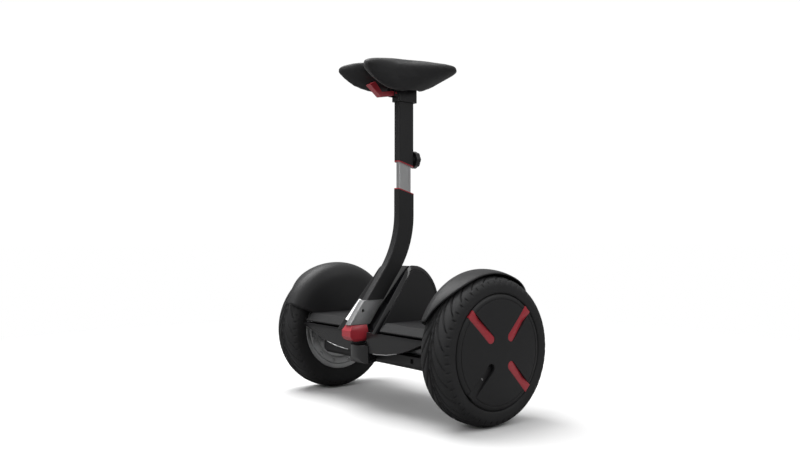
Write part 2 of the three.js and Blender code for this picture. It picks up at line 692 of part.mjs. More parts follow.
function padCore() {
  const ear = (y0, y1) => join(rodY(6.5, PIN.x, y0, y1, PIN.z), box(PIN.x, 22.6, y0, y1, 650, 664));
  const plate = box(22, 50, -30, 45, 650, 657);
  const body = join(plate, ear(-9, LUG.y0 - GAP), ear(LUG.y1 + GAP, 25));
  return cut(body, rodY(PIN.r + GAP, PIN.x, -20, 40, PIN.z));
}

// Each station along a pad: y, inner x, outer x, top z, then the belly's x and z and the inner foot's z.
const STATIONS = [
  [-121, 38, 50, 658, 45, 647, 650], [-116, 28, 53, 661.5, 44, 641, 649],
  [-105, 14, 54, 664.5, 43, 632, 648], [-90, 3.5, 54, 666.5, 41, 624, 646],
  [-70, 3.5, 54.5, 667.5, 35, 617, 636], [-47, 3.5, 56, 668, 28, 613, 623],
  [-20, 3.5, 63, 668, 22, 611.5, 619], [5, 3.5, 72, 668, 21, 612, 614],
  [30, 3.5, 81, 668, 24, 616, 618], [52, 3.5, 87.5, 668, 32, 625, 628],
  [68, 4, 88, 667.5, 42, 636, 640], [79, 14, 83, 666, 50, 644, 648], [85, 34, 70, 661, 54, 650, 652],
];

function padRing([y, inner, outer, top, bellyX, bellyZ, foot]) {
  const soft = Math.min(6, (outer - inner) / 3);
  const tip = top - 9;
  const points = [
    [inner, top - soft], [inner + 0.3 * soft, top - 0.3 * soft], [inner + soft, top],
    [outer - 1.7 * soft, top], [outer - 0.6 * soft, top - 2], [outer, tip + 1],
  ];
  for (let i = 0; i <= 4; i += 1) {
    const t = i / 4;
    const sag = 0.45 * (1 - t) + 0.55 * (1 - Math.sin((t * Math.PI) / 2));
    const low = bellyZ + (Math.max(tip - 6, bellyZ + 1) - bellyZ) * sag;
    points.push([THREE.MathUtils.lerp(outer - 2, bellyX, t), low]);
  }
  points.push([(bellyX + inner) / 2, (2 * bellyZ + foot) / 3], [inner + 2, foot - 1]);
  points.push([inner, Math.min(foot + 3, top - soft - 1)]);
  return points.map(([x, z]) => new THREE.Vector3(x, y, z));
}

function kneePad() {
  const hingeRoom = box(0, 23, -10, 26, 580, 700);
  const collarRoom = box(0, 13, -27, 34, 580, 633);
  const slit = box(20, 50.4, -30.4, 45.4, 649.6, 657.4);
  return cut(loft(STATIONS.map(padRing)), hingeRoom, collarRoom, slit);
}

function buildSteering() {
  part('steering_bushing', cut(rodY(12, 0, -84, -64, PIVOT_Z), rodY(8.3, 0, -90, -60, PIVOT_Z)), STEEL);
  part('steering_shaft', rodY(8, 0, -91.6, -58, PIVOT_Z), STEEL);
  part('base_bracket', bracket(), STEEL);
  part('release_button', releaseButton(), RED);
  part('lower_tube', lowerTube(), MATTE);
  part('lower_trim', endTrim(LOWER_DEPTH, LOWER_CUT - TRIM), RED);
  part('inner_tube', innerTube(), SILVER);
  part('upper_tube', upperTube(), MATTE);
  part('upper_trim', endTrim(UPPER_DEPTH, UPPER_CUT), RED);
  part('height_knob', knob(), SATIN);
}

function buildPads() {
  part('pad_head', padHead(), SATIN);
  part('pad_latch', padLatch(), RED);
  pair('pad_pin', rodY(PIN.r, PIN.x, -10, 26, PIN.z), STEEL);
  pair('pad_core', padCore(), SATIN);
  pair('knee_pad', kneePad(), FOAM);
}

buildWheels();
buildBody();
buildSteering();
buildPads();

export default machine;
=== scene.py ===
"""A two-wheeled self balancing machine with a knee bar: its looks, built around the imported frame.

Metres throughout. -Y is the front, +X the rider's left, +Z up, and the origin is on the ground.
"""
import json
import math

import bmesh
import bpy
import numpy as np
from mathutils import Matrix, Vector
from mathutils.bvhtree import BVHTree


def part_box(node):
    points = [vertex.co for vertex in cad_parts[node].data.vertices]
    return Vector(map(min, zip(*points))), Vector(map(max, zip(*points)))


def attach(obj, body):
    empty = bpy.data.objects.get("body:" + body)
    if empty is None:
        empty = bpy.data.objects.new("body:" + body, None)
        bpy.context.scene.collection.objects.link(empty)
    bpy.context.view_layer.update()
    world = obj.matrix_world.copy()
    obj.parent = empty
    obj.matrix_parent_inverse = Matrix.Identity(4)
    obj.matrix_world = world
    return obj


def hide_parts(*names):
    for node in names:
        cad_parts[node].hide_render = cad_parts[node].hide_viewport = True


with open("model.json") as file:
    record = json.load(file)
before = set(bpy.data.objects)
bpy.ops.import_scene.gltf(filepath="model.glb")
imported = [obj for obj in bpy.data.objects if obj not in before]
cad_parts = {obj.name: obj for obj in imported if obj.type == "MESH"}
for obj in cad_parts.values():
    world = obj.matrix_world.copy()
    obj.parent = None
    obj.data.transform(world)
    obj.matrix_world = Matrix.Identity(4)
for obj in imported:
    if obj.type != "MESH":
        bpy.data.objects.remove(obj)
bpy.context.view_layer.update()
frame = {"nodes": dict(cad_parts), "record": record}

MM = 0.001
SIDES = {"left": 1, "right": -1}
BODY_OF = {n: b for b, nodes in frame["record"]["behaviour"]["bodies"].items() for n in nodes}
SLOT_OF = {s["node"]: s["material_slot"] for s in frame["record"]["subparts"]}

# ---- sizes taken from the frame ----
TYRE_LOW, TYRE_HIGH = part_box("tyre_left")
WHEEL_X = (TYRE_LOW.x + TYRE_HIGH.x) / 2
TYRE_HALF = (TYRE_HIGH.x - TYRE_LOW.x) / 2
TYRE_R = (TYRE_HIGH.y - TYRE_LOW.y) / 2
AXLE_Z = (TYRE_LOW.z + TYRE_HIGH.z) / 2
COVER_LOW, COVER_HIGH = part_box("wheel_cover_left")
COVER_R = (COVER_HIGH.z - COVER_LOW.z) / 2
COVER_CROWN = COVER_HIGH.x - WHEEL_X
COVER_BACK = COVER_LOW.x - WHEEL_X
RIM_LOW, RIM_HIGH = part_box("rim_left")
RIM_R = (RIM_HIGH.z - RIM_LOW.z) / 2
RIM_HALF = (RIM_HIGH.x - RIM_LOW.x) / 2


# ---- materials ----
def add(tree, kind, **inputs):
    """A node with its inputs set from plain values, or linked when the value is another node's socket."""
    node = tree.nodes.new(kind)
    for name, value in inputs.items():
        socket = node.inputs[name.replace("_", " ")]
        if isinstance(value, bpy.types.NodeSocket):
            tree.links.new(value, socket)
        else:
            socket.default_value = value
    return node


def mix(tree, factor, first, second):
    node = add(tree, "ShaderNodeMix")
    node.data_type = "RGBA"
    for socket, value in ((node.inputs[0], factor), (node.inputs[6], first), (node.inputs[7], second)):
        if isinstance(value, bpy.types.NodeSocket):
            tree.links.new(value, socket)
        else:
            socket.default_value = value
    return node.outputs[2]


def span(tree, value, low, high, out_low, out_high):
    return add(tree, "ShaderNodeMapRange", Value=value, From_Min=low, From_Max=high, To_Min=out_low,
               To_Max=out_high).outputs[0]


def finish(name, color, rough, metal=0.0, grain=900.0, bump=0.02, vary=0.12, coat=0.0, stretch=(1, 1, 1),
           worn=None, specular=0.5, glow=0.0, sheen=0.0, speck=0.0):
    """A procedural surface: grain in its bump, cloudy colour and roughness, painted shade darkening hollows
    and creases, and worn edges.
    """
    material = bpy.data.materials.new(name)
    material.use_nodes = True
    tree = material.node_tree
    shader = tree.nodes["Principled BSDF"]
    place = add(tree, "ShaderNodeTexCoord").outputs["Object"]
    stretched = add(tree, "ShaderNodeMapping", Vector=place, Scale=stretch).outputs[0]
    fine = add(tree, "ShaderNodeTexNoise", Vector=stretched, Scale=grain, Detail=4.0).outputs["Fac"]
    cloud = add(tree, "ShaderNodeTexNoise", Vector=place, Scale=14.0, Detail=5.0).outputs["Fac"]
    base = (*color, 1.0)
    dark = (*(c * (1 - vary) for c in color), 1.0)
    tint = mix(tree, span(tree, cloud, 0.35, 0.65, 0.0, 1.0), dark, base)
    if speck:
        tint = mix(tree, span(tree, fine, 0.35, 0.65, 0.0, speck), tint, (0.02, 0.02, 0.02, 1.0))
    edge = add(tree, "ShaderNodeNewGeometry").outputs["Pointiness"]
    # Painted shade: where the surface curves inwards, in hollows and creases, the colour is darkened towards
    # near black.
    tint = mix(tree, span(tree, edge, 0.36, 0.48, 0.6, 0.0), tint, (0.002, 0.002, 0.002, 1.0))
    if worn:
        tint = mix(tree, span(tree, edge, 0.56, 0.7, 0.0, 0.35), tint, (*worn, 1.0))
    tree.links.new(tint, shader.inputs["Base Color"])
    tree.links.new(span(tree, fine, 0.3, 0.7, rough * 0.88, rough * 1.12), shader.inputs["Roughness"])
    relief = add(tree, "ShaderNodeBump", Strength=0.35, Distance=bump * MM, Height=fine)
    tree.links.new(relief.outputs[0], shader.inputs["Normal"])
    shader.inputs["Metallic"].default_value = metal
    shader.inputs["Coat Weight"].default_value = coat
    shader.inputs["Coat Roughness"].default_value = 0.08
    shader.inputs["Specular IOR Level"].default_value = specular
    shader.inputs["Sheen Weight"].default_value = sheen
    if glow:
        shader.inputs["Emission Color"].default_value = (1, 1, 1, 1)
        shader.inputs["Emission Strength"].default_value = glow
    return material


GREY_WEAR = (0.05, 0.05, 0.053)
FINISHES = {
    "tyre": finish("tyre", (0.018, 0.018, 0.019), 0.7, grain=1500, bump=0.10, vary=0.25, specular=0.4),
    "alloy": finish("alloy", (0.58, 0.585, 0.59), 0.4, metal=0.8, grain=900, bump=0.05, vary=0.2,
                    speck=0.25),
    "matte_black": finish("matte_black", (0.014, 0.014, 0.015), 0.5, grain=2200, bump=0.06, worn=GREY_WEAR,
                          specular=0.4),
    "satin_black": finish("satin_black", (0.011, 0.011, 0.012), 0.3, grain=2400, bump=0.02, worn=GREY_WEAR,
                          specular=0.45),
    "gloss_black": finish("gloss_black", (0.005, 0.005, 0.006), 0.14, grain=300, bump=0.01, coat=0.3),
    "black_paint": finish("black_paint", (0.017, 0.017, 0.018), 0.5, grain=2600, bump=0.05, worn=GREY_WEAR,
                          specular=0.35),
    "red": finish("red", (0.46, 0.035, 0.05), 0.32, grain=1300, bump=0.02, coat=0.2, worn=(0.5, 0.12, 0.13)),
    "steel": finish("steel", (0.40, 0.403, 0.407), 0.5, metal=0.75, grain=420, bump=0.06,
                    stretch=(1, 1, 4), vary=0.2, speck=0.45),
    "silver": finish("silver", (0.66, 0.665, 0.67), 0.34, metal=0.9, grain=420, bump=0.03,
                     stretch=(12, 12, 1), vary=0.1),
    "mat_rubber": finish("mat_rubber", (0.010, 0.010, 0.011), 0.62, grain=1200, bump=0.16, vary=0.2,
                         specular=0.3),
    "pad_skin": finish("pad_skin", (0.013, 0.013, 0.014), 0.6, grain=1100, bump=0.14, vary=0.15, sheen=0.08,
                       specular=0.4),
    "light_lens": finish("light_lens", (0.9, 0.92, 0.94), 0.2, grain=500, bump=0.02, glow=0.9, vary=0.04),
    "tail_lens": finish("tail_lens", (0.28, 0.008, 0.012), 0.18, grain=500, bump=0.02, coat=0.6),
    "board": finish("board", (0.02, 0.12, 0.05), 0.35, grain=700, bump=0.05),
    "winding": finish("winding", (0.42, 0.19, 0.08), 0.4, metal=0.7, grain=220, bump=0.15,
                      stretch=(1, 9, 9)),
}


# ---- mesh helpers ----
FLAT_ANGLE = math.radians(0.6)
ROUNDED_ANGLE = math.radians(28)
MERGE_DISTANCE = 0.02 * MM


def show(name, mesh, body, slot, *nodes, sharp=32):
    """Puts a finished mesh in the scene, riding on its body and standing for the named nodes."""
    mesh.materials.clear()
    mesh.materials.append(FINISHES[slot])
    mesh.polygons.foreach_set("use_smooth", [True] * len(mesh.polygons))
    mesh.set_sharp_from_angle(angle=math.radians(sharp))
    piece = bpy.data.objects.new(name, mesh)
    bpy.context.scene.collection.objects.link(piece)
    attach(piece, body)
    if nodes:
        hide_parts(*nodes)
    return piece


def baked(mesh, *modifiers):
    """The mesh after the named modifiers, each given as (type, settings)."""
    work = bpy.data.objects.new("work", mesh)
    bpy.context.scene.collection.objects.link(work)
    for kind, settings in modifiers:
        modifier = work.modifiers.new(kind.lower(), kind)
        for key, value in settings.items():
            setattr(modifier, key, value)
    bpy.context.view_layer.update()
    result = bpy.data.meshes.new_from_object(work.evaluated_get(bpy.context.evaluated_depsgraph_get()))
    bpy.data.objects.remove(work)
    return result


def clean_copy(node):
    """The node's mesh with shared points merged and flat areas joined."""
    mesh = frame["nodes"][node].data.copy()
    bm = bmesh.new()
    bm.from_mesh(mesh)
    bmesh.ops.remove_doubles(bm, verts=bm.verts, dist=MERGE_DISTANCE)
    bmesh.ops.dissolve_limit(
        bm, angle_limit=FLAT_ANGLE, verts=bm.verts, edges=bm.edges, use_dissolve_boundaries=False
    )
    bm.to_mesh(mesh)
    bm.free()
    return mesh


def refined(node, bevel):
    """The node's own shape with its edges rounded off."""
    rounding = {
        "width": bevel * MM, "segments": 3, "limit_method": "ANGLE",
        "angle_limit": ROUNDED_ANGLE, "miter_outer": "MITER_ARC", "use_clamp_overlap": True,
    }
    mesh = baked(clean_copy(node), ("BEVEL", rounding))
    piece = show(f"{node}_skin", mesh, BODY_OF[node], SLOT_OF[node], node, sharp=38)
    weighted = piece.modifiers.new("weighted", "WEIGHTED_NORMAL")
    weighted.keep_sharp = True
    return piece


def mesh_from(points, faces):
    mesh = bpy.data.meshes.new("mesh")
    mesh.from_pydata([tuple(p) for p in points], [], faces)
    mesh.validate()
    mesh.update()
    return mesh


def ring_faces(rings, across):
    """Quads joining rings of points laid one after another, both ways round closed."""
    faces = []
    for i in range(rings):
        for j in range(across):
            a, b = i * across + j, i * across + (j + 1) % across
            c, d = ((i + 1) % rings) * across + (j + 1) % across, ((i + 1) % rings) * across + j
            faces.append((a, b, c, d))
    return faces


def facing_out(mesh):
    bm = bmesh.new()
    bm.from_mesh(mesh)
    bmesh.ops.recalc_face_normals(bm, faces=bm.faces)
    bm.to_mesh(mesh)
    bm.free()
    return mesh


def on_wheel(x, y, z, side):
    """A point given from the wheel's middle, put on the left (1) or right (-1) wheel."""
    return side * (WHEEL_X + x), y, AXLE_Z + z


def turned(profile, side, segments=160, disc=False):
    """A closed (x, r) profile in millimetres, turned about the axle; a disc is filled in at its middle."""
    points = []
    for i in range(segments):
        turn = 2 * math.pi * i / segments
        for x, r in profile:
            points.append(on_wheel(x * MM, r * MM * math.cos(turn), r * MM * math.sin(turn), side))
    across = len(profile)
    faces = ring_faces(segments, across)
    if disc:
        faces = [face for i, face in enumerate(faces) if i % across != across - 1]
        faces += [tuple(range(0, segments * across, across)),
                  tuple(range(across - 1, segments * across, across))]
    return facing_out(mesh_from(points, faces))


def arc(centre_x, centre_r, radius, start, end, steps=6):
    """Points on a round corner of a profile, from one angle to another in degrees."""
    turns = [math.radians(start + (end - start) * i / steps) for i in range(steps + 1)]
    return [(centre_x + radius * math.cos(t), centre_r + radius * math.sin(t)) for t in turns]


# ---- tyres ----
TYRE_STEPS = 620
CRESCENTS = 26
CRESCENT_REACH = 84.0
GROOVE_DEPTH = 3.2
CARCASS_R = 112.0
CROWN_POWER = 2.6
TOE_X, TOE_R = 24.7, 86.4
SEAT_X, SEAT_R = 28.3, 90.4
CURVE_START, CURVE_SPREAD, CURVE_POWER = 2.0, 27.0, 2.3
NOTCH_X, NOTCH_DEPTH = 31.4, 2.4


def tyre_section():
    """The tyre's outline as (x, r, 1 where there is tread) in millimetres, bead to bead and back."""
    half, crown = TYRE_HALF / MM, TYRE_R / MM - CARCASS_R
    outline = [(-TOE_X, TOE_R, 0), (-TOE_X, SEAT_R, 0), (-SEAT_X, SEAT_R, 0)]
    for i in range(1, 9):
        t = i / 9
        x = -SEAT_X - (half - SEAT_X) * math.sin(t * math.pi / 2)
        outline.append((x, SEAT_R + (CARCASS_R - SEAT_R) * t, 0))
    for i in range(81):
        x = -half * math.cos(math.pi * i / 80)
        r = CARCASS_R + crown * (1 - abs(x / half) ** CROWN_POWER) ** (1 / CROWN_POWER)
        outline.append((x, r, 1))
    outline += [(x, r, 0) for x, r in ((33.9, 109), (33.6, 106), (33.2, 103.6), (32.2, 102), (30.6, 101.2),
                                       (29.4, 100.6), (SEAT_X, SEAT_R), (TOE_X, SEAT_R), (TOE_X, TOE_R))]
    outline += [(x, r, 0) for x, r in ((17, 95), (27, 112), (14, 121), (0, 123.5), (-14, 121), (-27, 112),
                                       (-17, 95))]
    return np.array(outline)


def groove_depth(x, around):
    """How deep the tread is cut at x across and a distance around, in millimetres."""
    pitch = 2 * math.pi * TYRE_R / MM / CRESCENTS
    depth = np.zeros(np.broadcast(x, around).shape)
    for direction in (1, -1):
        shift = 0 if direction > 0 else pitch / 2
        out = np.clip(x * direction, 0, None)
        for lap in range(-1, 4):
            u = (np.mod(around - shift, pitch) + lap * pitch) / CRESCENT_REACH
            path = CURVE_START + CURVE_SPREAD * np.clip(u, 0, 1) ** CURVE_POWER
            lean = CURVE_SPREAD * CURVE_POWER * np.clip(u, 0.02, 1) ** (CURVE_POWER - 1) / CRESCENT_REACH
            away = np.abs(out - path) / np.sqrt(1 + lean ** 2)
            width = 1.45 * np.sqrt(np.clip(np.sin(np.clip(u, 0, 1) * math.pi), 0, 1)) + 0.05
            inside = (u > 0) & (u < 1)
            depth = np.maximum(depth, inside * GROOVE_DEPTH * np.clip(1.8 - 1.2 * away / width, 0, 1))
        notch = np.abs(np.mod(around - shift + pitch * 0.42, pitch / 2) - pitch / 4)
        reach = np.clip(1.6 - np.abs(out - NOTCH_X) / 1.6, 0, 1)
        depth = np.maximum(depth, NOTCH_DEPTH * np.clip(1.8 - notch, 0, 1) * reach)
    return depth


def tyre(side_name):
    """A tyre turned from its section, with crescent grooves and shoulder notches cut in."""
    side = SIDES[side_name]
    section = tyre_section()
    turn = np.arange(TYRE_STEPS) * 2 * math.pi / TYRE_STEPS
    x, r, tread = section[:, 0][None, :], section[:, 1][None, :], section[:, 2][None, :]
    around = (-turn * TYRE_R / MM)[:, None]
    cut = groove_depth(x, around) * tread
    pull = np.clip(np.abs(x) / (TYRE_HALF / MM), 0, 1) ** 4
    r = r - cut * (1 - 0.6 * pull)
    x = x - np.sign(x) * cut * 0.8 * pull
    y = -r * np.cos(turn)[:, None]
    z = r * np.sin(turn)[:, None]
    world = np.stack([side * (WHEEL_X + x * MM), y * MM, AXLE_Z + z * MM], axis=-1).reshape(-1, 3)
    mesh = facing_out(mesh_from(world.tolist(), ring_faces(TYRE_STEPS, len(section))))
    show(f"tyre_{side_name}_tread", mesh, f"{side_name}_wheel", "tyre", f"tyre_{side_name}", sharp=50)


# ---- rims and motor covers ----
BOLTS = 12
BOLT_X, BOLT_CIRCLE = -27.3 * MM, 73 * MM
BOLT_R, BOLT_HEIGHT = 3.8 * MM, 2.2 * MM


def rim(side_name):
    """A cast rim: two rounded flanges, a stepped drum and a web behind the outer cover."""
    edge, lip, drum = RIM_R / MM, RIM_HALF / MM, 80.0
    profile = [(-lip + 0.6, drum), *arc(-lip + 1.5, edge - 1.5, 1.5, 180, 0), (-25, 86.1), (25, 86.1)]
    profile += [*arc(lip - 1.5, edge - 1.5, 1.5, 180, 0), (lip - 0.6, drum), (20, drum), (20, 16.4)]
    profile += [(12, 16.4), (12, drum), (-16, drum), (-17, 81.2), (-21, 81.2), (-22, drum)]
    mesh = turned(profile, SIDES[side_name])
    show(f"rim_{side_name}_cast", mesh, f"{side_name}_wheel", "alloy", f"rim_{side_name}")


def bolt_points(x, y, z, radius, height, side):
    """A socket-headed bolt whose head faces the middle of the machine."""
    rings = [(radius, 0), (radius, height * 0.8), (radius * 0.85, height), (radius * 0.5, height),
             (radius * 0.45, height * 0.35)]
    sides = 12
    points = []
    for size, rise in rings:
        for i in range(sides):
            turn = 2 * math.pi * i / sides
            points.append(on_wheel(x - rise, y + size * math.cos(turn), z + size * math.sin(turn), side))
    faces = [(i * sides + j, i * sides + (j + 1) % sides, (i + 1) * sides + (j + 1) % sides,
              (i + 1) * sides + j) for i in range(len(rings) - 1) for j in range(sides)]
    faces.append(tuple(range(sides)))
    faces.append(tuple(range(len(points) - sides, len(points)))[::-1])
    return points, faces


def motor_cover(side_name):
    """The hub motor's inner cover: stepped rings round a boss, with a circle of bolts."""
    side = SIDES[side_name]
    profile = [(-22, 79.4), (-26.6, 79.4), (-27.5, 78.5), (-27.5, 67), (-26.8, 65.4), (-25, 63.4)]
    profile += [(-24.8, 56), (-23.6, 55), (-23.6, 38), (-24.8, 37), (-25, 31), (-27, 27.4), (-28.4, 26)]
    profile += [(-29, 25), (-29, 16.4), (-22, 16.4)]
    mesh = turned(profile, side)
    points = [tuple(v.co) for v in mesh.vertices]
    faces = [tuple(p.vertices) for p in mesh.polygons]
    for i in range(BOLTS):
        turn = 2 * math.pi * (i + 0.5) / BOLTS
        place = (BOLT_X, BOLT_CIRCLE * math.cos(turn), BOLT_CIRCLE * math.sin(turn))
        more, joined = bolt_points(*place, BOLT_R, BOLT_HEIGHT, side)
        faces += [tuple(len(points) + k for k in face) for face in joined]
        points += more
    mesh = facing_out(mesh_from(points, faces))
    show(f"motor_cover_{side_name}_cast", mesh, f"{side_name}_wheel", "alloy", f"motor_cover_{side_name}")


# ---- wheel covers ----
SLOT_HALF = 8.3
SLOT_START = 27.0
STRIP_DIP = 77.0
STRIP_GAP = 0.35
SLOT_TURNS = (45, 135, -45, -135)


def slot_tool(side, degrees):
    """A bar with a round inner end that cuts one slot through the cover."""
    outline = []
    for i in range(17):
        turn = math.pi / 2 + math.pi * i / 16
        outline.append((SLOT_START + SLOT_HALF + SLOT_HALF * math.cos(turn), SLOT_HALF * math.sin(turn)))
    outline += [(112, -SLOT_HALF), (112, SLOT_HALF)]
    spin = math.radians(degrees)
    points = []
    for x in (COVER_BACK - 3 * MM, COVER_CROWN + 8 * MM):
        for r, w in outline:
            y = (r * math.cos(spin) - w * math.sin(spin)) * MM
            z = (r * math.sin(spin) + w * math.cos(spin)) * MM
            points.append(on_wheel(x, y, z, side))
    n = len(outline)
    faces = [(j, (j + 1) % n, n + (j + 1) % n, n + j) for j in range(n)]
    faces += [tuple(range(n)), tuple(range(2 * n - 1, n - 1, -1))]
    tool = bpy.data.objects.new("tool", facing_out(mesh_from(points, faces)))
    bpy.context.scene.collection.objects.link(tool)
    return tool


def slot_block(side, degrees, gap, low, heights):
    """A block filling a slot, less a gap all round; its top passes through (r, x) heights in millimetres."""
    spin = math.radians(degrees)
    half, start = SLOT_HALF - gap, SLOT_START + gap
    radii, tops = zip(*heights)
    stations = [start + half * (1 - math.cos(math.pi / 2 * i / 9)) for i in range(10)]
    stations += [r for r in radii if r > start + half]
    points = []
    for r in stations:
        out = max(0.0, start + half - r)
        wide = max(0.02, math.sqrt(max(0.0, half ** 2 - out ** 2)))
        top = float(np.interp(r, radii, tops))
        for w, x in ((-wide, low), (wide, low), (wide, top), (-wide, top)):
            y = (r * math.cos(spin) - w * math.sin(spin)) * MM
            z = (r * math.sin(spin) + w * math.cos(spin)) * MM
            points.append(on_wheel(x * MM, y, z, side))
    faces = []
    for k in range(len(stations) - 1):
        faces += [(4 * k + j, 4 * k + (j + 1) % 4, 4 * k + 4 + (j + 1) % 4, 4 * k + 4 + j) for j in range(4)]
    faces += [(0, 1, 2, 3), tuple(len(points) - 4 + j for j in (3, 2, 1, 0))]
    mesh = facing_out(mesh_from(points, faces))
    edges = {"width": 0.4 * MM, "segments": 2, "limit_method": "ANGLE", "angle_limit": math.radians(40)}
    return baked(mesh, ("BEVEL", edges))


def slot_fillings(side_name):
    """Three red strips that dip and then ramp up to the rim, and a black ramp over the valve."""
    side = SIDES[side_name]
    back, crown, end = COVER_BACK / MM + 0.3, COVER_CROWN / MM, COVER_R / MM - 0.6
    dip = ((SLOT_START, crown - 0.4), (STRIP_DIP, back + 1.6), (end - 1.5, crown - 3.0), (end, crown - 3.2))
    ramp = ((SLOT_START, back + 0.5), (end, crown - 2.4))
    for i, degrees in enumerate(SLOT_TURNS[:-1]):
        node = f"cover_strip_{i + 1}_{side_name}"
        mesh = slot_block(side, degrees, STRIP_GAP, back, dip)
        show(f"{node}_bar", mesh, f"{side_name}_wheel", "red", node, sharp=30)
    mesh = slot_block(side, SLOT_TURNS[-1], 0.05, back, ramp)
    show(f"valve_ramp_{side_name}", mesh, f"{side_name}_wheel", "matte_black", sharp=30)


def wheel_cover(side_name):
    """A crowned disc with a fine groove near its edge, cut by four slots."""
    side = SIDES[side_name]
    crown, back, edge = COVER_CROWN / MM, COVER_BACK / MM, COVER_R / MM
    face = [(crown - 3.2 * (r / 95) ** 2.6, r) for r in (4, 12, 24, 36, 48, 58, 67, 75, 82, 87, 90.4)]
    groove = [(crown - 2.9, 91), (crown - 3.9, 91.2), (crown - 3.9, 92), (crown - 3.1, 92.2)]
    rounding = [(crown - 3.5, 95), (crown - 4.0, 97), (crown - 5.0, 98.9), (back + 1.6, edge), (back, edge)]
    mesh = turned([*face, *groove, *rounding, (back, 4)], side, 192, disc=True)
    tools = [slot_tool(side, degrees) for degrees in SLOT_TURNS]
    steps = [("BOOLEAN", {"operation": "DIFFERENCE", "object": tool, "solver": "EXACT"}) for tool in tools]
    edges = {"width": 0.5 * MM, "segments": 2, "limit_method": "ANGLE", "angle_limit": math.radians(60)}
    mesh = baked(mesh, *steps, ("BEVEL", edges))
    for tool in tools:
        bpy.data.objects.remove(tool)
    name = f"wheel_cover_{side_name}"
    show(f"{name}_disc", mesh, f"{side_name}_wheel", "matte_black", name, sharp=30)


# ---- fenders ----
def fender(side_name):
    """The fender's own shape, smoothed along its length, with its rims kept crisp."""
    node = f"fender_{side_name}"
    mesh = frame["nodes"][node].data.copy()
    bm = bmesh.new()
    bm.from_mesh(mesh)
    bmesh.ops.remove_doubles(bm, verts=bm.verts, dist=MERGE_DISTANCE)
    bmesh.ops.join_triangles(bm, faces=bm.faces, angle_face_threshold=math.radians(50),
                             angle_shape_threshold=math.radians(70))
    crease = bm.edges.layers.float.new("crease_edge")
    for edge in bm.edges:
        if len(edge.link_faces) == 2 and edge.calc_face_angle() > math.radians(52):
            edge[crease] = 0.72
    bm.to_mesh(mesh)
    bm.free()
    mesh = baked(mesh, ("SUBSURF", {"levels": 2, "render_levels": 2}))
    show(f"{node}_shell", mesh, "chassis", "matte_black", node, sharp=60)


# ---- knee pads ----
PAD_SHRINK = 1.2
PAD_CAP = 6.0
PAD_VOXEL = 4.0


def drawn_in(mesh, distance):
    """The mesh with each point moved inwards along its normal."""
    bm = bmesh.new()
    bm.from_mesh(mesh)
    bm.normal_update()
    for vertex in bm.verts:
        vertex.co -= vertex.normal * distance
    bm.to_mesh(mesh)
    bm.free()
    return mesh


def swollen(mesh):
    """Cloth pressure fills the pad out; no point may travel further than the cap."""
    work = bpy.data.objects.new("pad_work", mesh)
    bpy.context.scene.collection.objects.link(work)
    cloth = work.modifiers.new("cloth", "CLOTH")
    cloth.settings.quality = 6
    cloth.settings.use_pressure = True
    cloth.settings.uniform_pressure_force = 4.0
    cloth.settings.effector_weights.gravity = 0.0
    cloth.settings.tension_stiffness = 25.0
    cloth.settings.bending_stiffness = 3.0
    for step in range(1, 21):
        bpy.context.scene.frame_set(step)
    start = np.array([v.co[:] for v in mesh.vertices])
    result = work.evaluated_get(bpy.context.evaluated_depsgraph_get()).to_mesh()
    end = np.array([v.co[:] for v in result.vertices])
    bpy.data.objects.remove(work)
    bpy.context.scene.frame_set(1)
    travel = end - start
    length = np.linalg.norm(travel, axis=1, keepdims=True)
    capped = start + travel * np.minimum(1.0, PAD_CAP * MM / np.maximum(length, 1e-9))
    mesh.vertices.foreach_set("co", capped.ravel())
    mesh.update()
    return mesh


def knee_pad(side_name):
    """A soft pad: remeshed, drawn in, swollen by cloth pressure, then smoothed."""
    node = f"knee_pad_{side_name}"
    mesh = clean_copy(node)
    soften = ("REMESH", {"mode": "VOXEL", "voxel_size": PAD_VOXEL * MM})
    mesh = baked(mesh, soften, ("SMOOTH", {"factor": 0.5, "iterations": 2}))
    mesh = drawn_in(mesh, PAD_SHRINK * MM)
    mesh = swollen(mesh)
    mesh = baked(mesh, ("SMOOTH", {"factor": 0.5, "iterations": 3}),
                 ("SUBSURF", {"levels": 1, "render_levels": 1}))
    show(f"{node}_cushion", mesh, f"{side_name}_pad", "pad_skin", node, sharp=80)


# ---- the rest of the machine ----
# Each node's edge rounding in millimetres.
ROUNDINGS = {
    "body_shell": 2.0, "pivot_nose": 3.0, "battery_pack": 1.6, "hump_cover": 1.6, "base_bracket": 0.6,
    "release_button": 2.2, "lower_tube": 0.6, "upper_tube": 0.6, "lower_trim": 0.4, "upper_trim": 0.4,
    "inner_tube": 0.5, "height_knob": 1.4, "pad_head": 1.0, "pad_latch": 0.9, "charge_cap": 0.8,
    "power_button": 0.6, "chassis_frame": 1.0,
}
PAIR_ROUNDINGS = {
    "hump_side": 0.8, "taillight": 0.8, "foot_mat": 1.8, "pad_core": 0.8,
    "valve_stem": 0.5, "pad_pin": 0.5,
}

LIGHT_SINK = 1.3


def light_bar(side_name):
    """A headlight's own shape, let into the flank of its channel."""
    node = f"headlight_{side_name}"
    piece = refined(node, 0.7)
    face = max(piece.data.polygons, key=lambda p: p.area * (p.normal.z > 0))
    piece.data.transform(Matrix.Translation(-face.normal * LIGHT_SINK * MM))


# Reach, steps and radius in millimetres of the silver tubes that paint the highlight under the body's lower
# front edge.
BEAD_FROM, BEAD_TO, BEAD_STEPS, BEAD_R = 40.0, 112.0, 24, 0.9


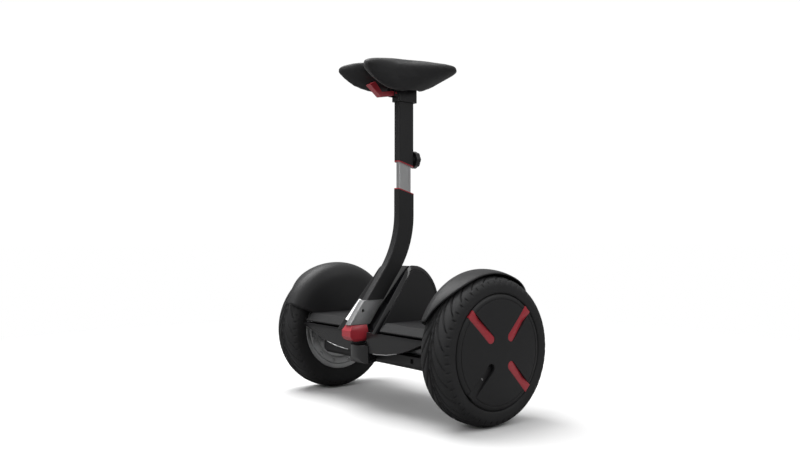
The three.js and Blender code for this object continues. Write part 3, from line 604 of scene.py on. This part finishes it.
def painted_highlight_beads():
    """A thin silver tube along the lower front edge of the body, on each side of the nose: a painted
    highlight standing in for the bright line where that chamfered edge catches the light, not a moulded
    part.
    """
    source = frame["nodes"]["body_shell"].data
    shell = BVHTree.FromPolygons([v.co for v in source.vertices], [p.vertices for p in source.polygons])
    low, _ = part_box("body_shell")
    for side_name, side in SIDES.items():
        path = []
        for i in range(BEAD_STEPS + 1):
            x = side * (BEAD_FROM + (BEAD_TO - BEAD_FROM) * i / BEAD_STEPS) * MM
            for rise in range(200):
                z = low.z + rise * 0.25 * MM
                place = shell.ray_cast(Vector((x, low.y - 0.05, z)), Vector((0, 1, 0)))[0]
                if place and place.y < low.y + 0.02:
                    path.append(Vector((x, place.y, z)))
                    break
        line = bpy.data.curves.new("bead", "CURVE")
        line.dimensions = "3D"
        line.bevel_depth = BEAD_R * MM
        line.bevel_resolution = 3
        line.use_fill_caps = True
        spline = line.splines.new("POLY")
        spline.points.add(len(path) - 1)
        for i, (point, place) in enumerate(zip(spline.points, path)):
            point.co = (*place, 1)
            point.radius = 0.25 + 0.75 * math.sin(math.pi * min(1, 0.15 + 0.85 * i / len(path))) ** 0.5
        work = bpy.data.objects.new("work", line)
        bpy.context.scene.collection.objects.link(work)
        bpy.context.view_layer.update()
        mesh = bpy.data.meshes.new_from_object(work.evaluated_get(bpy.context.evaluated_depsgraph_get()))
        bpy.data.objects.remove(work)
        show(f"highlight_bead_{side_name}", mesh, "chassis", "silver")


def build():
    for side_name in SIDES:
        tyre(side_name)
        rim(side_name)
        motor_cover(side_name)
        wheel_cover(side_name)
        slot_fillings(side_name)
        fender(side_name)
        knee_pad(side_name)
        for name, rounding in PAIR_ROUNDINGS.items():
            refined(f"{name}_{side_name}", rounding)
        light_bar(side_name)
    for name, rounding in ROUNDINGS.items():
        refined(name, rounding)
    # Silver tubes that paint the highlight along the body's lower front edge.
    painted_highlight_beads()
    for name, node in frame["nodes"].items():
        if not node.hide_render:
            node.data.materials.clear()
            node.data.materials.append(FINISHES[SLOT_OF[name]])


# ---- stage, light and camera ----
CAMERA_PLACE = Vector((1.200, -0.9764, 0.3325))
CAMERA_AZIMUTH = math.radians(50.94)
CAMERA_RISE = math.radians(0.27)
CAMERA_LENS = 35.0


def floor():
    """A pale floor that fades to white with distance and throws little light back."""
    points = [(-30, -30, 0), (30, -30, 0), (30, 30, 0), (-30, 30, 0)]
    plane = bpy.data.objects.new("floor", mesh_from(points, [(0, 1, 2, 3)]))
    bpy.context.scene.collection.objects.link(plane)
    material = finish("floor", (0.9, 0.9, 0.9), 0.7, grain=40, bump=0.0, vary=0.0, specular=0.1)
    tree = material.node_tree
    place = add(tree, "ShaderNodeTexCoord").outputs["Object"]
    away = tree.nodes.new("ShaderNodeVectorMath")
    away.operation = "LENGTH"
    tree.links.new(place, away.inputs[0])
    fade = span(tree, away.outputs["Value"], 0.55, 1.6, 0.0, 1.0)
    white = add(tree, "ShaderNodeEmission", Color=(1, 1, 1, 1), Strength=1.0).outputs[0]
    blend = tree.nodes.new("ShaderNodeMixShader")
    tree.links.new(fade, blend.inputs[0])
    tree.links.new(tree.nodes["Principled BSDF"].outputs[0], blend.inputs[1])
    tree.links.new(white, blend.inputs[2])
    seen = tree.nodes.new("ShaderNodeMixShader")
    dim = add(tree, "ShaderNodeBsdfDiffuse", Color=(0.3, 0.3, 0.3, 1)).outputs[0]
    tree.links.new(add(tree, "ShaderNodeLightPath").outputs["Is Camera Ray"], seen.inputs[0])
    tree.links.new(dim, seen.inputs[1])
    tree.links.new(blend.outputs[0], seen.inputs[2])
    tree.links.new(seen.outputs[0], tree.nodes["Material Output"].inputs[0])
    plane.data.materials.append(material)


def sky():
    """White to the camera; for lighting, darker towards the horizon so glossy faces show soft lines."""
    world = bpy.data.worlds.new("studio")
    bpy.context.scene.world = world
    world.use_nodes = True
    tree = world.node_tree
    tree.nodes.clear()
    direction = add(tree, "ShaderNodeTexCoord").outputs["Generated"]
    height = add(tree, "ShaderNodeSeparateXYZ", Vector=direction).outputs["Z"]
    level = span(tree, height, 0.0, 0.9, 0.16, 1.0)
    soft = add(tree, "ShaderNodeBackground", Strength=level).outputs[0]
    white = add(tree, "ShaderNodeBackground", Color=(1, 1, 1, 1), Strength=1.02).outputs[0]
    camera_ray = add(tree, "ShaderNodeLightPath").outputs["Is Camera Ray"]
    blend = tree.nodes.new("ShaderNodeMixShader")
    tree.links.new(camera_ray, blend.inputs[0])
    tree.links.new(soft, blend.inputs[1])
    tree.links.new(white, blend.inputs[2])
    output = tree.nodes.new("ShaderNodeOutputWorld")
    tree.links.new(blend.outputs[0], output.inputs[0])


def lamp(name, place, target, width, height, power):
    data = bpy.data.lights.new(name, "AREA")
    data.shape = "RECTANGLE"
    data.size = width
    data.size_y = height
    data.energy = power
    light = bpy.data.objects.new(name, data)
    bpy.context.scene.collection.objects.link(light)
    light.location = place
    light.rotation_mode = "QUATERNION"
    light.rotation_quaternion = (Vector(target) - Vector(place)).to_track_quat("-Z", "Y")


def camera():
    data = bpy.data.cameras.new("camera")
    data.lens = CAMERA_LENS
    data.sensor_width = 36.0
    eye = bpy.data.objects.new("camera", data)
    bpy.context.scene.collection.objects.link(eye)
    eye.location = CAMERA_PLACE
    flat = math.cos(CAMERA_RISE)
    look = Vector((-math.sin(CAMERA_AZIMUTH) * flat, math.cos(CAMERA_AZIMUTH) * flat, math.sin(CAMERA_RISE)))
    eye.rotation_mode = "QUATERNION"
    eye.rotation_quaternion = look.to_track_quat("-Z", "Y")
    bpy.context.scene.camera = eye


def stage():
    floor()
    sky()
    lamp("key", (-0.9, -0.3, 2.6), (0, 0, 0.2), 2.0, 2.0, 75)
    lamp("side", (2.2, 0.9, 1.9), (0.1, 0, 0.3), 0.8, 1.6, 12)
    lamp("front", (0.3, -2.4, 1.5), (0, 0, 0.3), 1.4, 1.0, 15)
    camera()
    bpy.context.scene.view_settings.view_transform = "Standard"


build()
stage()
